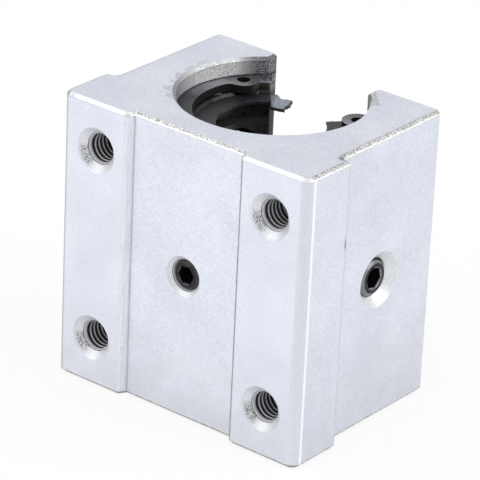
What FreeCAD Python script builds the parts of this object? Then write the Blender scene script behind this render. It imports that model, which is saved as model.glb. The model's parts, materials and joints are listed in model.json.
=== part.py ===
"""Open linear bearing block for a 16 mm supported shaft, standing on one end face.

The shaft axis is Z, the mounting face looks along -Y and the rail opening along +Y.
The origin is on the shaft axis at the middle of the block's length. Lengths are in millimetres.
"""

import FreeCAD, Part
import math
import os

import Sketcher
from FreeCAD import Matrix, Placement, Rotation, Vector

SIZES = {
    # housing: an extruded section with a flange on each side of the mounting face
    "block_width": 45.0,
    "block_length": 45.0,
    "block_height": 33.0,
    "axis_height": 20.0,
    "body_width": 41.6,
    "flange_thickness": 9.3,
    "flange_slope": 0.4,
    "recess_depth": 1.2,
    "recess_floor_width": 19.7,
    "recess_mouth_width": 21.2,
    "opening_width": 18.4,
    "bearing_bore": 28.0,
    "mounting_corner_radius": 1.5,
    "step_radius": 1.1,
    "strip_edge_radius": 0.9,
    "rear_corner_radius": 1.0,
    "edge_chamfer": 0.45,
    # a shallow facet, filed on the upper end of the +X horn beside the rail opening
    "facet_distance": 15.1,
    "facet_start": 3.8,
    "facet_length": 8.0,
    "facet_reach": 3.0,
    "facet_slope": 12.0,
    # tapped holes: the walls of the mounting holes lie just inside an M5 thread's root
    "mounting_hole": 4.88,
    "mounting_hole_depth": 12.0,
    "mounting_sink": 7.0,
    "hole_spacing_across": 32.0,
    "hole_spacing_along": 30.0,
    "locating_thread": 5.0,
    "locating_sink": 6.2,
    "adjusting_thread": 6.0,
    "adjusting_sink": 8.7,
    "sink_angle": 90.0,
    # retaining rings for the 28 mm bore
    "groove_diameter": 29.4,
    "groove_width": 1.3,
    "ring_thickness": 1.2,
    "ring_inner_radius": 11.8,
    "ring_inner_shift": 0.4,
    "lug_radius": 2.35,
    "lug_hole": 2.0,
    "lug_place_radius": 12.45,
    "lug_angle": 58.5,
    "ring_gap_angle": 50.0,
    "lug_blend": 1.3,
    # bearing sleeve
    "bearing_length": 37.0,
    "bearing_opening": 80.0,
    "raceway_radius": 10.41,
    "sleeve_end_radius": 10.9,
    "sleeve_end_depth": 3.6,
    "sleeve_edge": 0.4,
    "locating_hole": 3.8,
    "locating_hole_depth": 1.9,
    # balls and their circuits
    "ball_diameter": 2.381,
    "loaded_row_radius": 9.21,
    "turn_radius": 2.45,
    "upper_row_angle": 57.0,
    "lower_row_angle": 129.0,
    "channel_width": 2.7,
    "channel_floor": 7.9,
    "channel_roof": 10.52,
    "window_width": 2.12,
    "window_floor": 8.6,
    # ball retainer and the side rings that hold it
    "retainer_inner_radius": 8.35,
    "retainer_outer_radius": 10.3,
    "retainer_length": 29.8,
    "side_ring_inner_radius": 9.9,
    "side_ring_thickness": 0.8,
    # end seals
    "seal_lip_radius": 8.05,
    "seal_lip_width": 0.4,
    "seal_rim_width": 1.2,
    "seal_thickness": 2.2,
    "seal_web_thickness": 0.8,
    "seal_recess": 0.5,
    # set screws
    "screw_play": 0.05,
    "locating_screw_length": 6.0,
    "locating_socket": 2.5,
    "locating_point": 3.5,
    "locating_point_length": 2.0,
    "locating_sinkage": 0.5,
    "adjusting_screw_length": 6.0,
    "adjusting_socket": 3.0,
    "adjusting_point": 4.0,
    "adjusting_point_length": 0.6,
    "adjusting_gap": 0.02,
    "socket_depth": 2.6,
    "screw_edge": 0.5,
}

LOADED_BALLS = 8
TURN_BALLS = 3
CIRCUITS = (
    ("one", "upper_row_angle", 1),
    ("two", "lower_row_angle", 1),
    ("three", "lower_row_angle", -1),
    ("four", "upper_row_angle", -1),
)


class Size:
    """A length worked out from the sheet, held as a number and as the expression that gives it."""

    def __init__(self, value, formula):
        self.value = value
        self.formula = formula

    def __float__(self):
        return float(self.value)

    def joined(self, sign, other, value):
        other_formula = other.formula if isinstance(other, Size) else str(other)
        return Size(value, f"({self.formula} {sign} {other_formula})")

    def __neg__(self):
        return Size(-self.value, f"(0 - {self.formula})")

    def __add__(self, other):
        return self.joined("+", other, self.value + float(other))

    def __sub__(self, other):
        return self.joined("-", other, self.value - float(other))

    def __mul__(self, other):
        return self.joined("*", other, self.value * float(other))

    def __truediv__(self, other):
        return self.joined("/", other, self.value / float(other))


ZERO = Size(0.0, "0")


def cell(alias):
    """The sheet's cell with this alias."""
    return Size(SIZES[alias], f"Dimensions.{alias}")


def bind(thing, **sizes):
    """Ties properties of an object to the sheet."""
    for name, size in sizes.items():
        thing.setExpression(name.replace("__", "."), size.formula)


def fill_sheet(document):
    sheet = document.addObject("Spreadsheet::Sheet", "Dimensions")
    for row, (alias, value) in enumerate(SIZES.items(), 1):
        sheet.set(f"A{row}", alias)
        sheet.set(f"B{row}", str(value))
        sheet.setAlias(f"B{row}", alias)
    document.recompute()


# ---- sketches and features -------------------------------------------------------------------


def new_body(document, name):
    body = document.addObject("PartDesign::Body", name)
    body.Label = name
    return body


def new_sketch(body, name, role, lift=None):
    """A sketch on one of the body's own origin planes, lifted along that plane's normal."""
    sketch = body.newObject("Sketcher::SketchObject", name)
    plane = next(feature for feature in body.Origin.OriginFeatures if feature.Role == role)
    sketch.AttachmentSupport = [(plane, "")]
    sketch.MapMode = "FlatFace"
    if lift is not None:
        bind(sketch, AttachmentOffset__Base__z=lift)
    return sketch


def constrain(sketch, size, *rule):
    index = sketch.addConstraint(Sketcher.Constraint(*rule, float(size)))
    sketch.setExpression(f"Constraints[{index}]", size.formula)


def tie(sketch, element, end, across, up):
    """Holds one point of a sketch at two distances from the sketch's origin."""
    constrain(sketch, across, "DistanceX", -1, 1, element, end)
    constrain(sketch, up, "DistanceY", -1, 1, element, end)


def outline(sketch, corners):
    """A closed outline of straight lines, each corner tied to the sheet."""
    points = [Vector(float(across), float(up), 0) for across, up in corners]
    first = sketch.GeometryCount
    count = len(points)
    for start, end in zip(points, points[1:] + points[:1]):
        sketch.addGeometry(Part.LineSegment(start, end))
    for step in range(count):
        following = first + (step + 1) % count
        sketch.addConstraint(Sketcher.Constraint("Coincident", first + step, 2, following, 1))
    for step, (across, up) in enumerate(corners):
        tie(sketch, first + step, 1, across, up)


def rectangle(sketch, left, right, low, high):
    outline(sketch, [(left, low), (right, low), (right, high), (left, high)])


def circle(sketch, across, up, diameter):
    centre = Vector(float(across), float(up), 0)
    element = sketch.addGeometry(Part.Circle(centre, Vector(0, 0, 1), float(diameter) / 2))
    constrain(sketch, diameter, "Diameter", element)
    tie(sketch, element, 3, across, up)


def revolve(body, sketch, angle=None):
    """Turns a section about Z, evenly to both sides of the sketch."""
    feature = body.newObject("PartDesign::Revolution", sketch.Name + "_turned")
    feature.Profile = sketch
    feature.ReferenceAxis = (sketch, ["V_Axis"])
    if angle is None:
        feature.Angle = 360
    else:
        feature.Midplane = True
        bind(feature, Angle=angle)
    body.Tip = feature
    return feature


def cut_round(body, sketch):
    """Turns a section about Z and takes it away from the body."""
    feature = body.newObject("PartDesign::Groove", sketch.Name + "_cut")
    feature.Profile = sketch
    feature.ReferenceAxis = (sketch, ["V_Axis"])
    feature.Angle = 360
    body.Tip = feature
    return feature


def cut_through(body, sketch):
    feature = body.newObject("PartDesign::Pocket", sketch.Name + "_cut")
    feature.Profile = sketch
    feature.Type = "ThroughAll"
    feature.Midplane = True
    body.Tip = feature
    return feature


def drill(document, body, sketch, diameter, sink, depth):
    """A countersunk hole under each circle of the sketch."""
    document.recompute()
    hole = body.newObject("PartDesign::Hole", sketch.Name + "_drilled")
    hole.Profile = sketch
    hole.DepthType = "Dimension"
    hole.HoleCutType = "Countersink"
    hole.DrillPoint = "Flat"
    bind(hole, Diameter=diameter, Depth=depth, HoleCutDiameter=sink)
    bind(hole, HoleCutCountersinkAngle=cell("sink_angle"))
    body.Tip = hole
    document.recompute()
    return hole


def upright_edges(shape, places):
    """Names of the straight edges along Z at the given places of the section."""
    names = []
    for number, edge in enumerate(shape.Edges, 1):
        low, high = edge.BoundBox.ZMin, edge.BoundBox.ZMax
        if high - low < float(cell("block_length")) * 0.9:
            continue
        middle = edge.BoundBox.Center
        if any(math.hypot(middle.x - x, middle.y - y) < 0.05 for x, y in places):
            names.append(f"Edge{number}")
    return names


def end_edges(shape):
    """Names of the edges that bound the two end faces."""
    end = float(cell("block_length")) / 2
    names = []
    for number, edge in enumerate(shape.Edges, 1):
        box = edge.BoundBox
        if box.ZLength < 0.001 and abs(abs(box.ZMin) - end) < 0.001:
            names.append(f"Edge{number}")
    return names


def dress(document, body, kind, names, **sizes):
    """A fillet or chamfer on named edges of the body's present shape."""
    base = body.Tip
    feature = body.newObject(kind, f"{base.Name}_edges")
    feature.Base = (base, names)
    bind(feature, **sizes)
    body.Tip = feature
    document.recompute()
    return feature


# ---- housing ---------------------------------------------------------------------------------


def file_facet(body):
    """Cuts a shallow slope into the upper end face, from a line across the horn down to the bore."""
    facet = body.newObject("PartDesign::SubtractiveBox", "filed_facet")
    bind(facet, Length=cell("facet_length"), Width=cell("facet_reach"), Height=cell("facet_reach"))
    outward = Vector(1, 1, 0).normalize()
    along = Vector(-1, 1, 0).normalize()
    slope = math.radians(SIZES["facet_slope"])
    inward = -outward * math.cos(slope) - Vector(0, 0, math.sin(slope))
    up = along.cross(inward)
    start = outward * SIZES["facet_distance"] - along * SIZES["facet_start"]
    start.z = SIZES["block_length"] / 2
    facet.Placement = Placement(start, Rotation(along, inward, up, "ZXY"))
    body.Tip = facet


def make_housing(document):
    body = new_body(document, "housing")
    half_width = cell("block_width") / 2
    half_body = cell("body_width") / 2
    bottom = -cell("axis_height")
    top = cell("block_height") - cell("axis_height")
    flange_top = bottom + cell("flange_thickness")
    step = flange_top + cell("flange_slope")
    recess_top = bottom + cell("recess_depth")
    half_floor = cell("recess_floor_width") / 2
    half_mouth = cell("recess_mouth_width") / 2

    right_side = [
        (half_mouth, bottom),
        (half_width, bottom),
        (half_width, flange_top),
        (half_body, step),
        (half_body, top),
    ]
    left_side = [(-across, up) for across, up in reversed(right_side)]
    recess = [(-half_floor, recess_top), (half_floor, recess_top)]
    section = new_sketch(body, "section", "XY_Plane")
    outline(section, right_side + left_side + recess)
    block = body.newObject("PartDesign::Pad", "extrusion")
    block.Profile = section
    block.Midplane = True
    bind(block, Length=cell("block_length"))
    body.Tip = block

    bore = new_sketch(body, "bearing_seat", "XY_Plane")
    circle(bore, ZERO, ZERO, cell("bearing_bore"))
    cut_through(body, bore)
    opening = new_sketch(body, "rail_opening", "XY_Plane")
    half_opening = cell("opening_width") / 2
    rectangle(opening, -half_opening, half_opening, ZERO, top + 1)
    cut_through(body, opening)
    document.recompute()

    def rounded(alias, *places):
        both = [(sign * float(x), float(y)) for x, y in places for sign in (1, -1)]
        names = upright_edges(body.Shape, both)
        dress(document, body, "PartDesign::Fillet", names, Radius=cell(alias))

    rounded("mounting_corner_radius", (half_width, bottom))
    rounded("step_radius", (half_body, step))
    rounded("strip_edge_radius", (half_mouth, bottom), (half_opening, top))
    rounded("rear_corner_radius", (half_body, top))

    grooves = new_sketch(body, "ring_grooves", "YZ_Plane")
    inner = -cell("groove_diameter") / 2
    low = cell("bearing_length") / 2
    high = low + cell("groove_width")
    rectangle(grooves, inner, inner + 2, low, high)
    rectangle(grooves, inner, inner + 2, -high, -low)
    cut_round(body, grooves)

    mounting = new_sketch(body, "mounting_holes", "XZ_Plane", cell("axis_height"))
    across = cell("hole_spacing_across") / 2
    along = cell("hole_spacing_along") / 2
    for side in (across, -across):
        for place in (along, -along):
            circle(mounting, side, place, cell("mounting_hole"))
    drill(document, body, mounting, cell("mounting_hole"), cell("mounting_sink"),
          cell("mounting_hole_depth"))

    wall = cell("axis_height") - cell("recess_depth") - cell("bearing_bore") / 2
    locating = new_sketch(body, "locating_hole", "XZ_Plane",
                          cell("axis_height") - cell("recess_depth"))
    circle(locating, ZERO, ZERO, cell("locating_thread"))
    drill(document, body, locating, cell("locating_thread"), cell("locating_sink"), wall + 1)

    side_wall = half_body - cell("bearing_bore") / 2
    adjusting = new_sketch(body, "adjusting_hole", "YZ_Plane", half_body)
    circle(adjusting, ZERO, ZERO, cell("adjusting_thread"))
    drill(document, body, adjusting, cell("adjusting_thread"), cell("adjusting_sink"),
          side_wall + 1)

    names = end_edges(body.Shape)
    dress(document, body, "PartDesign::Chamfer", names, Size=cell("edge_chamfer"))
    file_facet(body)
    return body


# ---- retaining rings -------------------------------------------------------------------------


def primitive(document, kind, name, **sizes):
    thing = document.addObject(kind, name)
    bind(thing, **sizes)
    return thing


def boolean(document, kind, name, base, tool):
    thing = document.addObject(kind, name)
    thing.Base = base
    thing.Tool = tool
    return thing


def fused(document, name, things):
    thing = document.addObject("Part::MultiFuse", name)
    thing.Shapes = things
    return thing


def lug_corners(shape):
    """Numbers of the upright edges where the lugs meet the inside of the band."""
    low, high = SIZES["ring_inner_radius"] - 1, SIZES["lug_place_radius"]
    numbers = []
    for number, edge in enumerate(shape.Edges, 1):
        box = edge.BoundBox
        upright = box.ZLength > SIZES["ring_thickness"] * 0.9 and box.XLength + box.YLength < 0.01
        if upright and low < math.hypot(box.Center.x, box.Center.y) < high:
            numbers.append(number)
    return numbers


def make_retaining_ring(document, label, end):
    """A bore ring with two drilled lugs, in its groove at one end of the bearing."""
    thickness = cell("ring_thickness")
    outer = primitive(document, "Part::Cylinder", label + "_outside",
                      Radius=cell("groove_diameter") / 2, Height=thickness)
    inner = primitive(document, "Part::Cylinder", label + "_inside",
                      Radius=cell("ring_inner_radius"), Height=thickness,
                      Placement__Base__y=cell("ring_inner_shift"))
    band = boolean(document, "Part::Cut", label + "_band", outer, inner)
    gap = primitive(document, "Part::Cylinder", label + "_gap",
                    Radius=cell("groove_diameter"), Height=thickness,
                    Angle=cell("ring_gap_angle") * 2)
    gap.Placement.Rotation = Rotation(Vector(0, 0, 1), 90 - SIZES["ring_gap_angle"])
    open_band = boolean(document, "Part::Cut", label + "_open_band", band, gap)
    lugs, holes = [], []
    for side in (1, -1):
        angle = math.radians(90 - side * SIZES["lug_angle"])
        place = Vector(math.cos(angle), math.sin(angle), 0) * SIZES["lug_place_radius"]
        lug = primitive(document, "Part::Cylinder", f"{label}_lug", Radius=cell("lug_radius"),
                        Height=thickness)
        hole = primitive(document, "Part::Cylinder", f"{label}_lug_hole",
                         Radius=cell("lug_hole") / 2, Height=thickness)
        lug.Placement.Base = place
        hole.Placement.Base = place
        lugs.append(lug)
        holes.append(hole)
    blank = fused(document, label + "_blank", [open_band] + lugs)
    trimmed = document.addObject("Part::MultiCommon", label + "_trimmed")
    trim = primitive(document, "Part::Cylinder", label + "_trim",
                     Radius=cell("groove_diameter") / 2, Height=thickness)
    trimmed.Shapes = [blank, trim]
    document.recompute()
    blended = document.addObject("Part::Fillet", label + "_blended")
    blended.Base = trimmed
    blend = SIZES["lug_blend"]
    blended.Edges = [(number, blend, blend) for number in lug_corners(trimmed.Shape)]
    drilled = fused(document, label + "_holes", holes)
    ring = boolean(document, "Part::Cut", label, blended, drilled)
    ring.Label = label
    groove_end = (SIZES["bearing_length"] / 2) + SIZES["groove_width"]
    if end > 0:
        ring.Placement.Base.z = groove_end - SIZES["ring_thickness"]
    else:
        ring.Placement.Base.z = -groove_end
    return ring


# ---- circuits of balls -----------------------------------------------------------------------


def ball_pitch():
    """The distance between balls, which share each half turn evenly."""
    return SIZES["turn_radius"] * math.pi / TURN_BALLS


def half_straight():
    """Half the length of a row, from the middle to the axis of a turn."""
    return cell("turn_radius") * (math.pi / TURN_BALLS * LOADED_BALLS / 2)


def circuit_frame(alias, side):
    """The frame of one circuit: X from the loaded row to the return row, Z outward.

    The circuit lies in the plane that touches the loaded row's circle, so the balls
    rise clear of the shaft as they turn back.
    """
    angle = math.radians(90 + side * SIZES[alias])
    outward = Vector(math.cos(angle), math.sin(angle), 0)
    across = Vector(-math.sin(angle), math.cos(angle), 0) * side
    along = Vector(0, 0, side)
    frame = Matrix(across.x, along.x, outward.x, 0, across.y, along.y, outward.y, 0,
                   across.z, along.z, outward.z, 0, 0, 0, 0, 1)
    return Placement(frame)


def channel_box(document, name, middle, width, floor, roof):
    """A straight stretch of channel, in a circuit's own frame."""
    return primitive(document, "Part::Box", name, Length=width, Width=half_straight() * 2,
                     Height=roof - floor, Placement__Base__x=middle - width / 2,
                     Placement__Base__y=-half_straight(), Placement__Base__z=floor)


def channel_turn(document, name, end):
    """The half turn of the channel past one end of the rows."""
    height = cell("channel_roof") - cell("channel_floor")
    outer = primitive(document, "Part::Cylinder", name + "_outside", Height=height,
                      Radius=cell("turn_radius") + cell("channel_width") / 2)
    inner = primitive(document, "Part::Cylinder", name + "_inside", Height=height,
                      Radius=cell("turn_radius") - cell("channel_width") / 2)
    for part in (outer, inner):
        part.Angle = 180
    turn = boolean(document, "Part::Cut", name, outer, inner)
    turn.Placement = Placement(
        Vector(SIZES["turn_radius"], end * float(half_straight()), SIZES["channel_floor"]),
        Rotation(Vector(0, 0, 1), 0 if end > 0 else 180))
    return turn


def make_return_channel(document):
    """The room for the balls that turn back, in a circuit's own frame."""
    straight = channel_box(document, "return_straight", cell("turn_radius") * 2,
                           cell("channel_width"), cell("channel_floor"), cell("channel_roof"))
    turns = [channel_turn(document, f"return_turn_{number}", end)
             for number, end in enumerate((1, -1))]
    return fused(document, "return_channel", [straight] + turns)


def make_loaded_slot(document):
    """The loaded row's slot, with a window to the shaft that is narrower than a ball."""
    slot = channel_box(document, "loaded_straight", ZERO, cell("channel_width"),
                       cell("window_floor"), cell("channel_roof"))
    window = channel_box(document, "loaded_window", ZERO, cell("window_width"),
                         cell("channel_floor"), cell("channel_roof"))
    return fused(document, "loaded_slot", [slot, window])


def placed_in_circuits(document, tool, name):
    """A copy of a cutting tool in each circuit's place."""
    copies = []
    for circuit, alias, side in CIRCUITS:
        copy = document.addObject("Part::Compound", f"{name}_{circuit}")
        copy.Links = [tool]
        copy.Placement = circuit_frame(alias, side)
        copies.append(copy)
    return copies


def make_ball(document):
    """One ball: a cube with its edges cut back, 26 even faces and the volume of the true ball."""
    edge_share = 1 - 1 / math.sqrt(2)
    unit = Part.makeBox(1, 1, 1, Vector(-0.5, -0.5, -0.5))
    unit = unit.makeChamfer(edge_share, unit.Edges)
    ball_volume = math.pi / 6 * SIZES["ball_diameter"] ** 3
    side = (ball_volume / unit.Volume) ** (1 / 3)
    cube = Part.makeBox(side, side, side, Vector(-side / 2, -side / 2, -side / 2))
    return cube.makeChamfer(side * edge_share, cube.Edges)


def ball_group(document, label, ball, places, frame):
    """Balls that move as one, each at its place and turned to the path."""
    group = document.addObject("Part::Feature", label)
    copies = []
    for place, turn in places:
        copy = ball.copy()
        copy.Placement = Placement(place, Rotation(Vector(0, 0, 1), turn))
        copies.append(copy)
    group.Shape = Part.makeCompound(copies)
    group.Label = label
    group.Placement = frame
    return group


def make_circuit(document, name, alias, side, ball):
    frame = circuit_frame(alias, side)
    pitch, half = ball_pitch(), float(half_straight())
    radius, depth = SIZES["turn_radius"], SIZES["loaded_row_radius"]
    along = [(step + 0.5) * pitch - half for step in range(LOADED_BALLS)]
    loaded = [(Vector(0, place, depth), 0) for place in along]
    returning = [(Vector(2 * radius, place, depth), 0) for place in along]
    turning = {1: [], -1: []}
    for end, places in turning.items():
        for step in range(TURN_BALLS):
            angle = (step + 0.5) * 180 / TURN_BALLS
            across = radius - radius * math.cos(math.radians(angle))
            up = half + radius * math.sin(math.radians(angle))
            places.append((Vector(across, end * up, depth), -end * angle))
    upper, lower = (1, -1) if side > 0 else (-1, 1)
    return [
        ball_group(document, f"circuit_{name}_loaded_balls", ball, loaded, frame),
        ball_group(document, f"circuit_{name}_return_balls", ball, returning, frame),
        ball_group(document, f"circuit_{name}_upper_turn_balls", ball, turning[upper], frame),
        ball_group(document, f"circuit_{name}_lower_turn_balls", ball, turning[lower], frame),
    ]


# ---- bearing ---------------------------------------------------------------------------------


def bearing_span():
    """The angle that the bearing's pieces turn through, which leaves the rail opening."""
    return Size(360.0, "360") - cell("bearing_opening")


def make_sleeve(document, channels):
    blank = document.addObject("PartDesign::Body", "sleeve_blank")
    half = cell("bearing_length") / 2
    outer = cell("bearing_bore") / 2
    edge = cell("sleeve_edge")
    raceway = cell("raceway_radius")
    end_radius = cell("sleeve_end_radius")
    seat = half - cell("sleeve_end_depth")
    upper_half = [
        (-outer, half),
        (-end_radius - edge, half),
        (-end_radius, half - edge),
        (-end_radius, seat),
        (-raceway, seat),
    ]
    lower_half = [(across, -up) for across, up in reversed(upper_half)]
    section = new_sketch(blank, "sleeve_section", "YZ_Plane")
    outline(section, upper_half + lower_half)
    revolve(blank, section, bearing_span())
    hole = primitive(document, "Part::Cylinder", "sleeve_locating_hole",
                     Radius=cell("locating_hole") / 2, Height=cell("locating_hole_depth") + 1)
    hole.Placement = Placement(Vector(0, -SIZES["bearing_bore"] / 2 - 1, 0),
                               Rotation(Vector(1, 0, 0), -90))
    tools = fused(document, "sleeve_cuts", channels + [hole])
    sleeve = boolean(document, "Part::Cut", "bearing_sleeve", blank, tools)
    sleeve.Label = "bearing_sleeve"
    return sleeve


def make_retainer(document, channels, slots):
    blank = document.addObject("PartDesign::Body", "retainer_blank")
    half = cell("retainer_length") / 2
    section = new_sketch(blank, "retainer_section", "YZ_Plane")
    rectangle(section, -cell("retainer_outer_radius"), -cell("retainer_inner_radius"), -half, half)
    revolve(blank, section, bearing_span())
    tools = fused(document, "retainer_cuts", channels + slots)
    retainer = boolean(document, "Part::Cut", "ball_retainer", blank, tools)
    retainer.Label = "ball_retainer"
    return retainer


def make_side_ring(document, label, end):
    """A flat ring on the sleeve's shoulder that keeps the ball retainer in its place."""
    body = new_body(document, label)
    low = cell("bearing_length") / 2 - cell("sleeve_end_depth")
    high = low + cell("side_ring_thickness")
    if end < 0:
        low, high = -high, -low
    section = new_sketch(body, label + "_section", "YZ_Plane")
    rectangle(section, -cell("sleeve_end_radius"), -cell("side_ring_inner_radius"), low, high)
    revolve(body, section, bearing_span())
    return body


def make_seal(document, label, end):
    """A rubber ring whose web leans out to a lip that wipes the shaft."""
    body = new_body(document, label)
    high = cell("bearing_length") / 2 - cell("seal_recess")
    low = high - cell("seal_thickness")
    web = high - cell("seal_web_thickness")
    rim = cell("sleeve_end_radius")
    inner_rim = rim - cell("seal_rim_width")
    lip = cell("seal_lip_radius")
    corners = [
        (-rim, low),
        (-inner_rim, low),
        (-inner_rim, web),
        (-lip, web + cell("seal_lip_width")),
        (-lip, high),
        (-rim, high),
    ]
    if end < 0:
        corners = [(across, -up) for across, up in reversed(corners)]
    section = new_sketch(body, label + "_section", "YZ_Plane")
    outline(section, corners)
    revolve(body, section, bearing_span())
    return body


# ---- set screws ------------------------------------------------------------------------------


def make_set_screw(document, label, thread, length, point, point_length, socket):
    """A set screw along Z, its socket at the top and its point at the origin."""
    body = new_body(document, label)
    radius = thread / 2 - cell("screw_play")
    edge = cell("screw_edge")
    section = new_sketch(body, label + "_section", "XZ_Plane")
    outline(section, [
        (ZERO, ZERO),
        (point / 2, ZERO),
        (point / 2, point_length),
        (radius, point_length),
        (radius, length - edge),
        (radius - edge, length),
        (ZERO, length),
    ])
    revolve(body, section)
    hexagon = new_sketch(body, label + "_socket", "XY_Plane", length)
    half_flat = socket / 2
    corner = socket / math.sqrt(3)
    outline(hexagon, [
        (corner, ZERO),
        (corner / 2, half_flat),
        (-corner / 2, half_flat),
        (-corner, ZERO),
        (-corner / 2, -half_flat),
        (corner / 2, -half_flat),
    ])
    recess = body.newObject("PartDesign::Pocket", label + "_recess")
    recess.Profile = hexagon
    bind(recess, Length=cell("socket_depth"))
    body.Tip = recess
    return body


def make_screws(document):
    locating = make_set_screw(document, "locating_set_screw", cell("locating_thread"),
                              cell("locating_screw_length"), cell("locating_point"),
                              cell("locating_point_length"), cell("locating_socket"))
    recess_floor = SIZES["axis_height"] - SIZES["recess_depth"]
    tip = recess_floor - SIZES["locating_sinkage"] - SIZES["locating_screw_length"]
    locating.Placement = Placement(Vector(0, -tip, 0), Rotation(Vector(1, 0, 0), 90))
    adjusting = make_set_screw(document, "adjusting_set_screw", cell("adjusting_thread"),
                               cell("adjusting_screw_length"), cell("adjusting_point"),
                               cell("adjusting_point_length"), cell("adjusting_socket"))
    contact = SIZES["bearing_bore"] / 2 + SIZES["adjusting_gap"]
    adjusting.Placement = Placement(Vector(contact, 0, 0), Rotation(Vector(0, 1, 0), 90))
    return [locating, adjusting]


# ---- assembly --------------------------------------------------------------------------------


def check_objects(document):
    for thing in document.Objects:
        if "Invalid" in thing.State or "Error" in thing.State:
            raise RuntimeError(f"{thing.Label} failed: {thing.State}")


def check_piece(piece):
    shape = piece.Shape
    if shape.isNull() or not shape.isValid() or not shape.Solids:
        raise RuntimeError(f"{piece.Label} has no valid solid")


def main():
    document = FreeCAD.newDocument("linear_bearing_block")
    fill_sheet(document)
    pieces = [make_housing(document)]
    pieces.append(make_retaining_ring(document, "upper_retaining_ring", 1))
    pieces.append(make_retaining_ring(document, "lower_retaining_ring", -1))
    channels = placed_in_circuits(document, make_return_channel(document), "channel")
    slots = placed_in_circuits(document, make_loaded_slot(document), "slot")
    pieces.append(make_sleeve(document, channels))
    pieces.append(make_retainer(document, channels, slots))
    for end, place in ((1, "upper"), (-1, "lower")):
        pieces.append(make_side_ring(document, f"{place}_side_ring", end))
        pieces.append(make_seal(document, f"{place}_end_seal", end))
    ball = make_ball(document)
    for name, alias, side in CIRCUITS:
        pieces += make_circuit(document, name, alias, side, ball)
    pieces += make_screws(document)
    document.recompute()
    check_objects(document)
    for piece in pieces:
        check_piece(piece)
    os.makedirs("parts", exist_ok=True)
    for piece in pieces:
        piece.Shape.exportStep(f"parts/{piece.Label}.step")
        shape = piece.Shape
        print(f"{piece.Label}: {len(shape.Solids)} solids, {shape.Volume:.1f} mm3")


main()
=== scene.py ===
"""The looks of an open linear bearing block: finishes, threads, balls, torn seal ends and a soft studio."""

import json
import math
import random
from collections import namedtuple

import bmesh
import bpy
from mathutils import Matrix, Vector


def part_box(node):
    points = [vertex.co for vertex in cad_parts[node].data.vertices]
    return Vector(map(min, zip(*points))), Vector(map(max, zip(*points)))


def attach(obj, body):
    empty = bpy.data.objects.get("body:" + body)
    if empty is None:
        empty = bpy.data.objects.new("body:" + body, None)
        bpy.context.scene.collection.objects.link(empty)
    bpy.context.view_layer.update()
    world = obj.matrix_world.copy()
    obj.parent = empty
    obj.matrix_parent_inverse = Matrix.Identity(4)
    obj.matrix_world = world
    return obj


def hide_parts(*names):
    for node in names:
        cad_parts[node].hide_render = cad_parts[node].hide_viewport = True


MM = 0.001

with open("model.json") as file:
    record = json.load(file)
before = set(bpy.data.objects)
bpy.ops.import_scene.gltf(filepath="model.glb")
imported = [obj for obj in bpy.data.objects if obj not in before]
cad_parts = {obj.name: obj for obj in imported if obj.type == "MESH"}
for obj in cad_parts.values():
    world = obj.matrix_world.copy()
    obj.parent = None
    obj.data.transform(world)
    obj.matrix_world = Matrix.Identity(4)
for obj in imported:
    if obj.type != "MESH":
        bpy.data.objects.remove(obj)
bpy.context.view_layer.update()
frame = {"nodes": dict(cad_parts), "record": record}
nodes = frame["nodes"]
scene = bpy.context.scene

HOUSING_LOW, HOUSING_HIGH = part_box("housing")

# The housing in millimetres. The shaft's axis is Z, and the mounting face looks along -Y.
HALF_LENGTH = HOUSING_HIGH.z / MM
FLANGE_SIDE = HOUSING_HIGH.x / MM
REAR = HOUSING_HIGH.y / MM
FACE = HOUSING_LOW.y / MM
BODY_SIDE = 20.8
FLANGE_BACK = -10.7
RECESS_DEPTH = 1.2
RECESS_FOOT = 9.85
RECESS_MOUTH = 10.6
OPENING_SIDE = 9.2
BORE = 14.0
HOLES_ACROSS = 16.0
HOLES_ALONG = 15.0

# The set screws, in millimetres. A face is given by its distance from the shaft's axis.
SetScrew = namedtuple("SetScrew", "node body out face radius pitch socket turn point_radius point_length")
LOCATING = SetScrew(node="locating_set_screw", body="block", out=(0, -1, 0), face=18.3, radius=2.45,
                    pitch=0.8, socket=2.5, turn=0.35, point_radius=1.75, point_length=2.0)
ADJUSTING = SetScrew(node="adjusting_set_screw", body="adjusting_screw", out=(1, 0, 0), face=20.02,
                     radius=2.95, pitch=1.0, socket=3.0, turn=0.0, point_radius=2.0, point_length=0.6)


# ---- node helpers ----------------------------------------------------------------------------


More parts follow.
